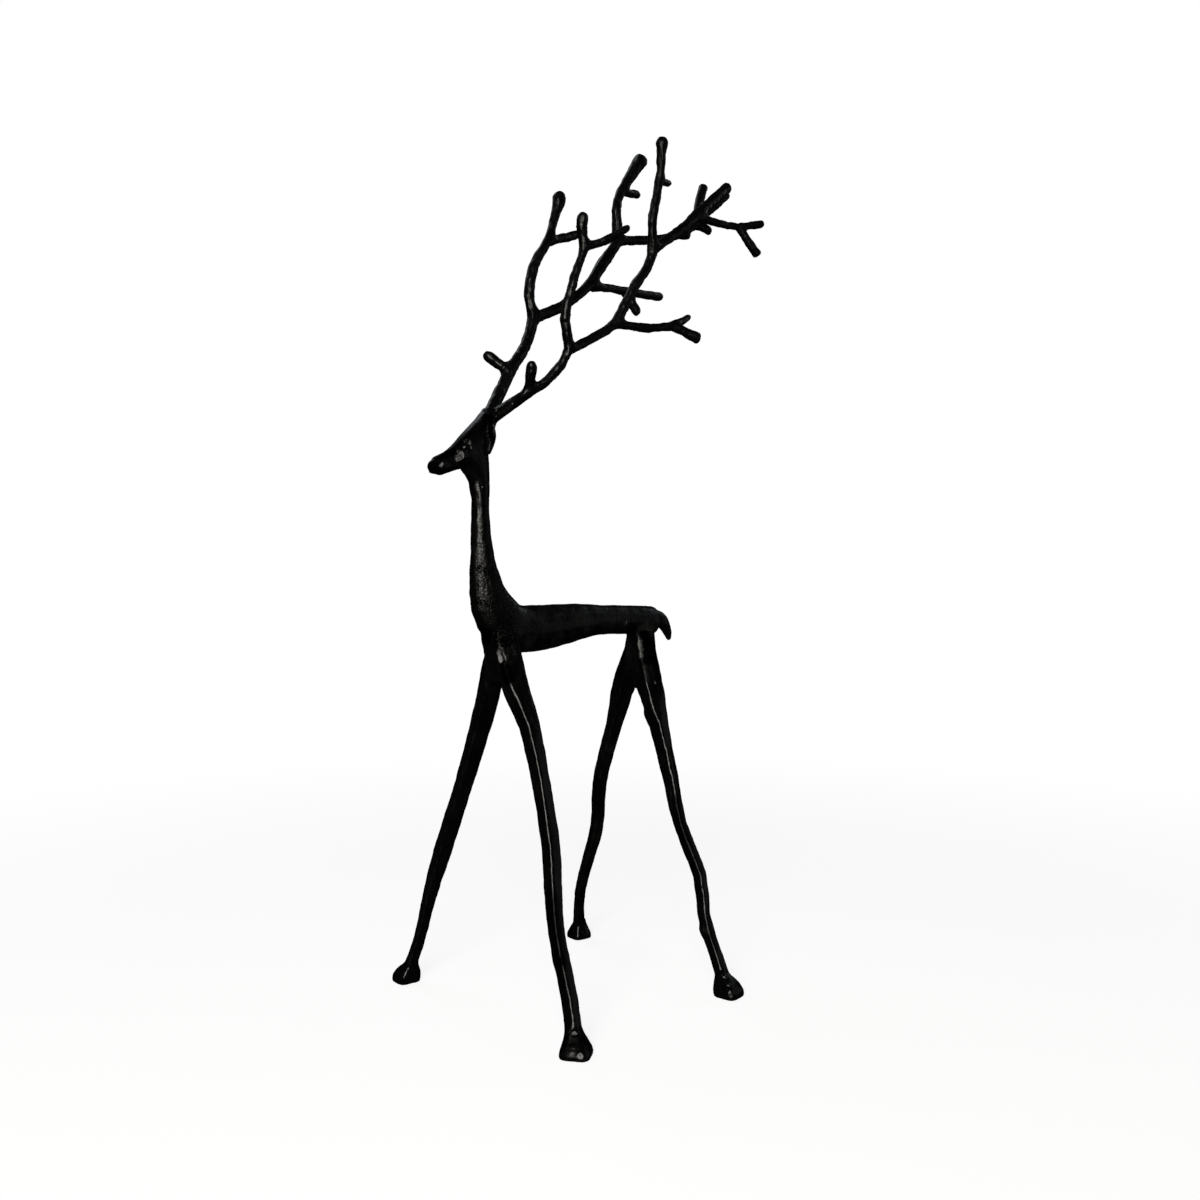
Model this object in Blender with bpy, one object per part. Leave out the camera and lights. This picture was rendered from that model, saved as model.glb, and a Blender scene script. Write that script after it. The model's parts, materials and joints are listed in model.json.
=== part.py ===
"""Metal reindeer figure: one solid casting that stands on four splayed legs.

The deer faces -Y, its left side is +X and the floor is z = 0. Stations are given
in millimetres as they would be marked on a drawing, and the solid is in metres.
"""

import math
from typing import NamedTuple

import bmesh
import bpy
from mathutils import Vector

MILLIMETRE = 0.001

# Facets round each kind of limb, and the distance between rings along it in mm.
TRUNK_SIDES, TRUNK_STEP = 18, 7.0
HEAD_SIDES, HEAD_STEP = 14, 5.0
LEG_SIDES, LEG_STEP = 12, 10.0
HOOF_SIDES = 16
BRANCH_SIDES, BRANCH_STEP = 8, 7.4
EAR_SIDES, EAR_STEP = 8, 3.0

# Section exponents: 2 is an ellipse, and a higher one has flatter sides and softer corners.
OVAL = 2.0
LEG_SQUARENESS = 6.0
HOOF_SQUARENESS = 4.0

# Lengths of limb ends, as multiples of the end's radius.
ROUND_END = 1.0
BLUNT_END = 0.35
OPEN_END = 0.0
END_ANGLES = (32.0, 62.0)
# Rings nearer the tip than this many end lengths are left out.
END_CLEARANCE = 1.2

# Stance on the floor: (x, y, sole radius) of each hoof, and its turn about Z in degrees.
HOOVES = {
    "left front": (75.8, -61.2, 7.8, 36.0),
    "right front": (-70.6, -67.4, 6.9, -1.0),
    "left hind": (72.9, 55.5, 7.2, 8.0),
    "right hind": (-65.0, 62.6, 6.7, -5.0),
}
HOOF_HEIGHT = 13.0
# Hoof outline: (height over hoof height, radius over sole radius) from the sole to the ankle.
FLARED_HOOF = (
    (0.0, 0.97),
    (0.07, 1.01),
    (0.24, 0.97),
    (0.46, 0.80),
    (0.70, 0.60),
    (0.88, 0.50),
    (1.0, 0.45),
)
ROUNDED_HOOF = (
    (0.0, 0.94),
    (0.08, 1.01),
    (0.30, 1.01),
    (0.52, 0.88),
    (0.70, 0.68),
    (0.86, 0.51),
    (1.0, 0.44),
)


class Branch(NamedTuple):
    """A round limb: its name, the shape of its end, and its (x, y, z, radius) stations."""

    name: str
    end: float
    stations: tuple


# Each leg from the body down: (x, y, z, half thickness, and how far the front corner
# is turned outwards in degrees).
LEGS = {
    "left front": (
        (3.5, -51.5, 206, 6.2, -28),
        (8.5, -51, 190, 6.6, -26),
        (14.2, -50.8, 175, 6.0, -10),
        (24.3, -49.8, 157, 4.5, 0),
        (35.4, -50.7, 127, 3.9, 10),
        (44.7, -51.8, 97, 3.9, -2),
        (49.4, -54.5, 80, 3.7, 4),
        (56.1, -57.4, 54.5, 3.4, 6),
        (67.5, -58.5, 24.5, 3.4, 14),
        (73.5, -60.5, 6, 3.4, 16),
    ),
    "right front": (
        (-3, -51, 206, 4.9, 12),
        (-6.5, -50.5, 190, 5.1, 12),
        (-12.8, -49.9, 172, 5.3, 10),
        (-19.0, -50.6, 154, 5.0, 12),
        (-30.6, -54.8, 118, 4.3, 14),
        (-43.2, -58.8, 83, 4.2, 10),
        (-50.5, -61.5, 61.5, 3.6, 8),
        (-56, -63, 43.5, 3.1, 10),
        (-60.8, -64.3, 26.5, 2.8, 14),
        (-68, -67.5, 6, 3.1, 14),
    ),
    "left hind": (
        (3, 56, 206, 6.2, -36),
        (5.1, 55.5, 193, 6.0, -36),
        (9.3, 54.7, 180, 6.0, -28),
        (13, 54, 167, 6.1, -18),
        (15.6, 53.2, 158, 5.8, -6),
        (19, 53.5, 149, 4.6, 8),
        (30, 53.5, 114, 3.8, 22),
        (36.6, 53.6, 92, 3.2, 8),
        (49.4, 56.9, 63, 3.2, 12),
        (54.3, 54.9, 42.5, 3.0, 16),
        (60.3, 55.3, 26.5, 3.0, 8),
        (69.5, 56.5, 6, 3.2, 10),
    ),
    "right hind": (
        (-3, 57, 206, 5.0, 12),
        (-5.5, 56.5, 193, 5.0, 12),
        (-10.8, 55.3, 180, 5.3, 10),
        (-16.4, 55.1, 164, 5.4, 12),
        (-23, 55.5, 145, 4.1, 14),
        (-30.5, 55, 125, 3.9, 12),
        (-37, 55.5, 105, 3.6, 8),
        (-43.3, 59.2, 77.5, 3.4, 12),
        (-51.7, 58.4, 53.5, 3.1, 10),
        (-59, 58.2, 31.5, 2.8, 12),
        (-64, 61.3, 6, 3.0, 12),
    ),
}

# Stations on the middle plane: (y, z, half width across X, half height across the path).
TRUNK = (
    (73.5, 212, 5.6, 5.8),
    (66, 211.7, 7.6, 8.6),
    (54, 212, 8.4, 8.7),
    (40, 212.3, 7.4, 8.7),
    (22, 212.6, 7.5, 8.8),
    (5, 211.5, 8.2, 10.7),
    (-12, 209.5, 9.0, 12.3),
    (-28, 208.2, 9.6, 13.1),
    (-43, 209, 9.8, 13.3),
    (-54, 216.5, 9.8, 13.6),
    (-60.5, 230, 8.6, 10.2),
    (-62.5, 240, 7.2, 8.0),
    (-63.7, 252, 5.9, 6.2),
    (-64.4, 266, 5.1, 5.1),
    (-64.6, 279, 4.9, 4.7),
    (-65.4, 289, 5.1, 5.9),
    (-68, 297, 5.4, 8.6),
    (-69.5, 305, 5.6, 9.2),
)
HEAD = (
    (-97.5, 293.1, 3.8, 4.0),
    (-92.5, 294.6, 4.2, 5.1),
    (-86.5, 297.2, 4.4, 5.4),
    (-79.5, 301, 5.3, 6.5),
    (-72, 307, 6.4, 7.6),
    (-65.8, 313.7, 6.5, 7.2),
    (-61.1, 320.6, 6.0, 5.6),
    (-57.7, 327.6, 5.6, 4.0),
)
TAIL = (
    (65, 214, 4.6, 5.0),
    (72.5, 212.6, 3.8, 5.0),
    (77.6, 208.3, 2.9, 4.1),
    (80.4, 203.5, 2.2, 3.3),
    (81.7, 199, 1.4, 2.0),
)
BRISKET = (
    (-54.3, 208, 8.2, 8.8),
    (-52.8, 192, 7.4, 6.4),
    (-51.5, 178, 6.0, 4.6),
)
CROTCH = (
    (54.8, 206, 6.8, 8.4),
    (55.6, 198, 7.0, 6.7),
    (56, 190, 7.2, 6.0),
    (55, 169.5, 4.2, 4.4),
)
# The left ear, laid back along the skull: (x, y, z, half thickness, half breadth).
EAR = (
    (4.4, -62.0, 324.5, 1.5, 1.4),
    (6.4, -61.8, 318.5, 1.7, 1.7),
    (7.4, -61.9, 312.5, 1.7, 2.1),
    (6.9, -62.8, 307, 1.3, 1.7),
    (6.0, -63.8, 302.5, 0.8, 1.1),
)

RIGHT_ANTLER = (
    Branch(
        "stem and front tine",
        ROUND_END,
        (
            (-2.8, -57.2, 324.6, 3.8),
            (-10.7, -35.7, 355, 3.3),
            (-15, -22.2, 371, 3.2),
            (-18, -14, 390, 3.2),
            (-19, -16, 402, 3.0),
            (-20.2, -11.5, 421, 3.1),
            (-21, -0.2, 439, 2.6),
            (-22.6, 6.1, 454, 2.6),
            (-24, 12.4, 471.6, 4.2),
        ),
    ),
    Branch(
        "brow tine",
        ROUND_END,
        ((-11, -36, 354, 3.2), (-15, -41.5, 358.3, 2.9), (-19.2, -48.3, 364, 3.1)),
    ),
    Branch(
        "front tine spur",
        ROUND_END,
        ((-21, -0.5, 438, 2.6), (-25, 17, 445.5, 2.6), (-30, 35, 453.5, 2.4)),
    ),
    Branch(
        "beam and top tine",
        BLUNT_END,
        (
            (-18, -14.5, 389, 3.3),
            (-18, -3, 394.6, 3.3),
            (-18, 9, 401, 3.1),
            (-18, 22, 410.6, 3.1),
            (-18, 31, 418.8, 3.1),
            (-19, 42.2, 433.5, 3.5),
            (-20, 55.8, 452, 3.3),
            (-21, 55.4, 470, 3.1),
            (-22, 60.5, 484, 2.7),
            (-21, 71.6, 500, 3.9),
            (-21.2, 78.7, 509.6, 4.5),
        ),
    ),
    Branch(
        "middle tine",
        ROUND_END,
        ((-18, 33, 417, 2.8), (-21, 52, 420.2, 2.5), (-27, 82, 424, 2.7), (-33, 108, 428, 2.9)),
    ),
    Branch(
        "middle tine spur",
        ROUND_END,
        ((-25, 68, 422, 3.3), (-23.4, 71.6, 415, 3.1), (-22.2, 76.2, 408, 2.8)),
    ),
    Branch("top tine spur", ROUND_END, ((-22, 60.5, 483.5, 2.4), (-28, 82, 488.7, 2.5))),
    Branch(
        "rear tine",
        BLUNT_END,
        (
            (-20, 56, 451, 3.0),
            (-19, 84, 457.5, 2.7),
            (-16, 105, 464.5, 2.7),
            (-13, 121, 476, 3.0),
            (-15, 125, 488, 3.0),
            (-18, 133.7, 504.8, 3.0),
        ),
    ),
    Branch("rear tine knob", ROUND_END, ((-16, 104, 465, 2.4), (-13, 114.6, 465, 2.0))),
    Branch("rear tine prong", BLUNT_END, ((-13, 120, 475, 2.6), (-6, 144.1, 498.7, 3.0))),
    Branch("rear tine spur", ROUND_END, ((-13, 119.5, 475, 2.6), (-8, 130.6, 470.4, 2.7))),
)
LEFT_ANTLER = (
    Branch(
        "stem and front tine",
        ROUND_END,
        (
            (3, -60, 323, 3.8),
            (11, -39, 339, 2.7),
            (16, -27.5, 348.5, 2.5),
            (19.9, -18.4, 364, 2.7),
            (23, -24, 380, 2.7),
            (25.5, -18.8, 404, 2.4),
            (26.2, -12.6, 421, 2.5),
            (27.5, -15.8, 431, 3.0),
            (29, -15.5, 439, 3.2),
        ),
    ),
    Branch(
        "brow tine", ROUND_END, ((11, -39, 339, 2.7), (15.1, -41.9, 346, 2.8), (19.1, -43.8, 354, 3.0))
    ),
    Branch(
        "front tine spur",
        ROUND_END,
        ((26, -13, 421, 2.2), (31, -2, 425.2, 2.4), (37, 12, 435, 2.0)),
    ),
    Branch(
        "beam and top tine",
        ROUND_END,
        (
            (20, -18, 363.5, 2.6),
            (21, 0.5, 374.2, 2.6),
            (23, 13.5, 383.6, 2.8),
            (26.3, 25.9, 406, 2.8),
            (27.2, 34, 417, 2.8),
            (28.2, 38.9, 428.5, 2.7),
            (31, 36, 445, 2.5),
            (32, 40.7, 470, 2.6),
            (33.9, 40.5, 481, 2.5),
            (35.1, 40.2, 494.6, 3.6),
        ),
    ),
    Branch(
        "middle tine",
        BLUNT_END,
        (
            (23, 13.5, 383.3, 2.5),
            (31, 34, 382.5, 2.4),
            (34, 49, 385.4, 2.3),
            (41, 65.5, 379.4, 3.3),
        ),
    ),
    Branch(
        "middle tine spur",
        ROUND_END,
        ((34, 48, 385.5, 2.5), (32, 58, 389.7, 2.3), (30, 68.5, 395.7, 1.8)),
    ),
    Branch("top tine spur", ROUND_END, ((32, 41, 470, 2.2), (26, 55.5, 473.6, 2.1))),
    Branch(
        "rear tine",
        BLUNT_END,
        (
            (28, 37.5, 428.3, 2.8),
            (29, 52.5, 440, 2.9),
            (28.2, 65.7, 449, 3.2),
            (26, 80, 461, 3.3),
            (19, 115.8, 489, 3.4),
        ),
    ),
    Branch(
        "rear tine branch",
        ROUND_END,
        (
            (26, 79, 459.5, 2.4),
            (30, 95, 458.1, 2.2),
            (32, 111, 459.2, 2.1),
            (40, 126.5, 462.7, 2.4),
        ),
    ),
    Branch("rear tine prong", BLUNT_END, ((32.2, 110.4, 459, 2.1), (36, 126, 443.2, 3.0))),
)


def clear_scene():
    """Remove whatever objects the scene starts with."""
    for old in list(bpy.data.objects):
        bpy.data.objects.remove(old, do_unlink=True)


def make_material():
    """Black cast metal, semi-gloss."""
    material = bpy.data.materials.new("black cast metal")
    material.use_nodes = True
    shader = material.node_tree.nodes["Principled BSDF"]
    shader.inputs["Base Color"].default_value = (0.012, 0.012, 0.013, 1.0)
    shader.inputs["Metallic"].default_value = 0.6
    shader.inputs["Roughness"].default_value = 0.38
    return material


def hermite(before, start, end, after, part):
    """Value between start and end, with slopes set by the neighbours on either side."""
    slope_in = (end - before) / 2
    slope_out = (after - start) / 2
    square = part * part
    cube = square * part
    return (
        start * (2 * cube - 3 * square + 1)
        + slope_in * (cube - 2 * square + part)
        + end * (3 * square - 2 * cube)
        + slope_out * (cube - square)
    )


def smooth_stations(stations, step):
    """Stations about one step apart on a smooth curve through the given ones."""
    finer = []
    last = len(stations) - 1
    for index in range(last):
        before = stations[max(index - 1, 0)]
        start = stations[index]
        end = stations[index + 1]
        after = stations[min(index + 2, last)]
        count = max(1, round(math.dist(start[:3], end[:3]) / step))
        for piece in range(count):
            finer.append(
                tuple(
                    hermite(*values, piece / count)
                    for values in zip(before, start, end, after)
                )
            )
    finer.append(tuple(stations[last]))
    return finer


def close_end(stations, end):
    """Replace the last stretch of a limb by rings that draw in to a rounded tip."""
    if end == OPEN_END:
        return stations
    tip = stations[-1]
    depth = end * (tip[3] + tip[4]) / 2
    kept = [s for s in stations[:-1] if math.dist(s[:3], tip[:3]) > END_CLEARANCE * depth]
    inward = Vector(kept[-1][:3]) - Vector(tip[:3])
    inward.normalize()
    rings = []
    for angle in (0.0, *END_ANGLES):
        centre = Vector(tip[:3]) + inward * depth * (1 - math.sin(math.radians(angle)))
        narrowing = math.cos(math.radians(angle))
        rings.append((*centre, tip[3] * narrowing, tip[4] * narrowing, tip[5]))
    return kept + rings


def ring_outline(sides, squareness, turn):
    """Unit outline of a section, as (wide, high) pairs, its corners turned off the diagonals."""
    cosine, sine = math.cos(math.radians(turn)), math.sin(math.radians(turn))
    outline = []
    for index in range(sides):
        angle = 2 * math.pi * (index + 0.5) / sides
        wide, high = math.cos(angle), math.sin(angle)
        wide = math.copysign(abs(wide) ** (2 / squareness), wide)
        high = math.copysign(abs(high) ** (2 / squareness), high)
        outline.append((wide * cosine - high * sine, wide * sine + high * cosine))
    return outline


def skin_rings(name, rings):
    """Object whose surface runs through the rings, with a flat face over each end."""
    shape = bmesh.new()
    rows = [[shape.verts.new(point) for point in ring] for ring in rings]
    sides = len(rows[0])
    for lower, upper in zip(rows, rows[1:]):
        for index in range(sides):
            after = (index + 1) % sides
            shape.faces.new((lower[index], lower[after], upper[after], upper[index]))
    shape.faces.new(rows[0])
    shape.faces.new(rows[-1])
    bmesh.ops.recalc_face_normals(shape, faces=shape.faces)
    mesh = bpy.data.meshes.new(name)
    shape.to_mesh(mesh)
    shape.free()
    made = bpy.data.objects.new(name, mesh)
    bpy.context.scene.collection.objects.link(made)
    return made


def loft(name, stations, sides, step, end=OPEN_END, squareness=OVAL):
    """Closed limb through (x, y, z, half width, half height, turn) stations, in mm and degrees."""
    path = close_end(smooth_stations(stations, step), end)
    centres = [Vector(station[:3]) for station in path]
    rings = []
    for index, station in enumerate(path):
        along = centres[min(index + 1, len(path) - 1)] - centres[max(index - 1, 0)]
        along.normalize()
        across = Vector((1, 0, 0)) - along * along.x
        across.normalize()
        upward = along.cross(across)
        ring = []
        for wide, high in ring_outline(sides, squareness, station[5]):
            point = centres[index] + across * wide * station[3] + upward * high * station[4]
            ring.append(point * MILLIMETRE)
        rings.append(ring)
    return skin_rings(name, rings)


def on_middle_plane(profile):
    """Unturned stations with x = 0 from (y, z, half width, half height) rows."""
    return [(0.0, *row, 0.0) for row in profile]


def as_round(stations):
    """Unturned stations with equal half widths and heights from (x, y, z, radius) rows."""
    return [(*station, station[3], 0.0) for station in stations]


def make_trunk():
    """Body from rump to neck, with the head, the tail and the flesh over each pair of legs."""
    return [
        loft("trunk", on_middle_plane(TRUNK)[::-1], TRUNK_SIDES, TRUNK_STEP, ROUND_END),
        loft("head", on_middle_plane(HEAD)[::-1], HEAD_SIDES, HEAD_STEP, ROUND_END),
        loft("tail", on_middle_plane(TAIL), EAR_SIDES, EAR_STEP, ROUND_END),
        loft("brisket", on_middle_plane(BRISKET), LEG_SIDES, LEG_STEP, ROUND_END),
        loft("crotch", on_middle_plane(CROTCH), LEG_SIDES, LEG_STEP, ROUND_END),
    ]


def make_ears():
    """The two ears, one the mirror image of the other."""
    ears = []
    for side_name, side in (("left", 1), ("right", -1)):
        stations = [(side * x, *rest, 0.0) for x, *rest in EAR]
        ears.append(loft(side_name + " ear", stations, EAR_SIDES, EAR_STEP, ROUND_END))
    return ears


def make_hoof(name, place, outline, lean):
    """Hoof with a flat sole on the floor, which bends over towards its leg as it narrows."""
    x, y, radius, turn = place
    section = ring_outline(HOOF_SIDES, HOOF_SQUARENESS, turn)
    rings = []
    for height, widening in outline:
        rise = height * HOOF_HEIGHT
        centre = Vector((x, y, rise)) + lean * rise * height
        reach = radius * widening
        rings.append(
            [(centre + Vector((wide, deep, 0.0)) * reach) * MILLIMETRE for wide, deep in section]
        )
    return skin_rings(name, rings)


def make_legs():
    """Four legs, each ending inside its own hoof."""
    made = []
    for name, stations in LEGS.items():
        outward = -1 if name.startswith("left") else 1
        leg = [(x, y, z, r, r, outward * turn) for x, y, z, r, turn in stations]
        made.append(loft(name + " leg", leg, LEG_SIDES, LEG_STEP, OPEN_END, LEG_SQUARENESS))
        shank, ankle = Vector(stations[-2][:3]), Vector(stations[-1][:3])
        lean = (shank - ankle) / (shank.z - ankle.z)
        lean.z = 0.0
        outline = FLARED_HOOF if name in ("left front", "right hind") else ROUNDED_HOOF
        made.append(make_hoof(name + " hoof", HOOVES[name], outline, lean))
    return made


def make_antler(side_name, branches):
    """All branches of one antler."""
    return [
        loft(
            side_name + " " + branch.name,
            as_round(branch.stations),
            BRANCH_SIDES,
            BRANCH_STEP,
            branch.end,
        )
        for branch in branches
    ]


def join_as_one(name, limbs, material):
    """One object whose solid is the union of the limbs, which are removed afterwards."""
    gathered = bpy.data.collections.new("limbs")
    for limb in limbs[1:]:
        gathered.objects.link(limb)
    body = limbs[0]
    union = body.modifiers.new("union", "BOOLEAN")
    union.operation = "UNION"
    union.operand_type = "COLLECTION"
    union.collection = gathered
    union.solver = "EXACT"
    bpy.context.view_layer.update()
    evaluated = body.evaluated_get(bpy.context.evaluated_depsgraph_get())
    mesh = bpy.data.meshes.new_from_object(evaluated)
    for limb in limbs:
        bpy.data.objects.remove(limb, do_unlink=True)
    bpy.data.collections.remove(gathered)
    mesh.name = name
    mesh.materials.clear()
    mesh.materials.append(material)
    joined = bpy.data.objects.new(name, mesh)
    bpy.context.scene.collection.objects.link(joined)
    return joined


def centre_on_floor(made):
    """Move the solid so that its bounding box is centred on Z, and drop it onto z = 0."""
    points = [vertex.co for vertex in made.data.vertices]
    lows = Vector(min(point[axis] for point in points) for axis in range(3))
    highs = Vector(max(point[axis] for point in points) for axis in range(3))
    middle = (lows + highs) / 2
    for vertex in made.data.vertices:
        vertex.co -= Vector((middle.x, middle.y, lows.z))


def main():
    """Build the figure."""
    clear_scene()
    limbs = make_trunk()
    limbs += make_ears()
    limbs += make_legs()
    limbs += make_antler("right", RIGHT_ANTLER)
    limbs += make_antler("left", LEFT_ANTLER)
    reindeer = join_as_one("reindeer", limbs, make_material())
    centre_on_floor(reindeer)
    reindeer.data.shade_smooth()


main()
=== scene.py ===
"""Black cast-metal reindeer figure: surface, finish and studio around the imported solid.

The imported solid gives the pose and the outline. A copy of it goes through the stages of a
lost-wax casting: a fine skin, faired joins, hand marks in the wax, the animal's face, the
tool's lengthwise strokes, and at last the black finish.
"""

from __future__ import annotations

import json
import logging
import math
from abc import ABC, abstractmethod
from dataclasses import dataclass, field
from enum import Enum

import bmesh
import bpy
import numpy as np
from bpy.types import Material, Mesh, Node, NodeSocket, NodeTree, Object, ShaderNodeTree
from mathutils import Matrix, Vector, noise

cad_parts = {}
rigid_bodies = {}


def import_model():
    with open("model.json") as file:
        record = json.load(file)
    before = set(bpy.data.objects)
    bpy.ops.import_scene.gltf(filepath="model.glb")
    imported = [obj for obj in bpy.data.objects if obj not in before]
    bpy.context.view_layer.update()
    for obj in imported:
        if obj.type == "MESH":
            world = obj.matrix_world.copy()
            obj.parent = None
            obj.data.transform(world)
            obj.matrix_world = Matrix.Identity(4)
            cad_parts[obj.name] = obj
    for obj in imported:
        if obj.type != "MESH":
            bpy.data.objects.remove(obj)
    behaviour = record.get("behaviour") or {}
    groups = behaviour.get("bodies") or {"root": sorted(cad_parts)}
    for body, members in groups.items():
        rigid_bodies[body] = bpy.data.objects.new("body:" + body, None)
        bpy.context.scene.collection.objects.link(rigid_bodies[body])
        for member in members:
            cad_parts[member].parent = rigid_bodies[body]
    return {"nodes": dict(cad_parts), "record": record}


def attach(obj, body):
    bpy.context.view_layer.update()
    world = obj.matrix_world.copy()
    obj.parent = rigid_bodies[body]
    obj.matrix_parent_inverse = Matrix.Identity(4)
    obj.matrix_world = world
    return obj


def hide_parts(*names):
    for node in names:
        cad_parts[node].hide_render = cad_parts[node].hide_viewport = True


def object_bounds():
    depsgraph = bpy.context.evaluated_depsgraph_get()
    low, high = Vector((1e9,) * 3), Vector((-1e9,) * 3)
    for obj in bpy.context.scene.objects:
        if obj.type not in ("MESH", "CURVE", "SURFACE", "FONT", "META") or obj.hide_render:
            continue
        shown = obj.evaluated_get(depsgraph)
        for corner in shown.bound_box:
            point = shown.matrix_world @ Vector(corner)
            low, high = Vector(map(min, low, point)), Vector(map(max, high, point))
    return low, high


for leftover in list(bpy.data.objects):
    bpy.data.objects.remove(leftover, do_unlink=True)
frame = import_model()
CAD_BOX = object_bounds()

log = logging.getLogger("reindeer")

Array = np.ndarray
Place = tuple[float, float, float]
Colour = tuple[float, float, float]
Stops = tuple[tuple[float, float], ...]
Feed = NodeSocket | float | tuple

MM = 0.001
DRAWN_SOLE = Vector((75.8, -61.2, 0.0)) * MM
WHITE = (1.0, 1.0, 1.0, 1.0)


def drawing_origin() -> Vector:
    """Return where the drawing's origin lies in the row frame, found from a sole."""
    mounts = {mount["name"]: mount["pos_m"] for mount in frame["record"]["mounts"]}
    return Vector(mounts["left_front_sole"]) - DRAWN_SOLE


ORIGIN = drawing_origin()


def placed(x: float, y: float, z: float) -> Vector:
    """Return the row-frame point of drawing millimetres (x, y, z)."""
    return ORIGIN + Vector((x, y, z)) * MM


def drawn(points: Array, axis: int) -> Array:
    """Return the drawing millimetres of row-frame points along one axis."""
    return (points[:, axis] - ORIGIN[axis]) / MM


def triangles(mesh: Mesh) -> int:
    """Return the number of triangles that a mesh comes to."""
    return sum(len(face.vertices) - 2 for face in mesh.polygons)


class Side(Enum):
    """Where a mark is worked: only at its own place, or at the mirror image too."""

    ONE = (1,)
    BOTH = (1, -1)


def fall(share: Array) -> Array:
    """Return a mark's height, 1 to 0, at distances given as shares of its reach."""
    return np.clip(1.0 - share**2, 0.0, None) ** 2


def plateau(share: Array) -> Array:
    """Return 1 over the inner half of a reach, falling to 0 at its end."""
    return np.clip(2.0 - 2.0 * share, 0.0, 1.0)


def eased(part: Array) -> Array:
    """Return shares from 0 to 1 with both ends of their climb rounded."""
    return part * (part * (3.0 - 2.0 * part))


def evened(values: Array, measured: Array | None = None) -> Array:
    """Return values scaled so that two standard deviations, of measured if given, are 1."""
    spread = (values if measured is None else measured).std()
    return values / (2.0 * spread)


@dataclass(frozen=True)
class Climb:
    """Share that climbs from 0 to 1 over a stretch of drawing millimetres."""

    start: float
    end: float

    def at(self, places: Array) -> Array:
        """Return the share at each place."""
        return np.clip((places - self.start) / (self.end - self.start), 0.0, 1.0)


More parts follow.
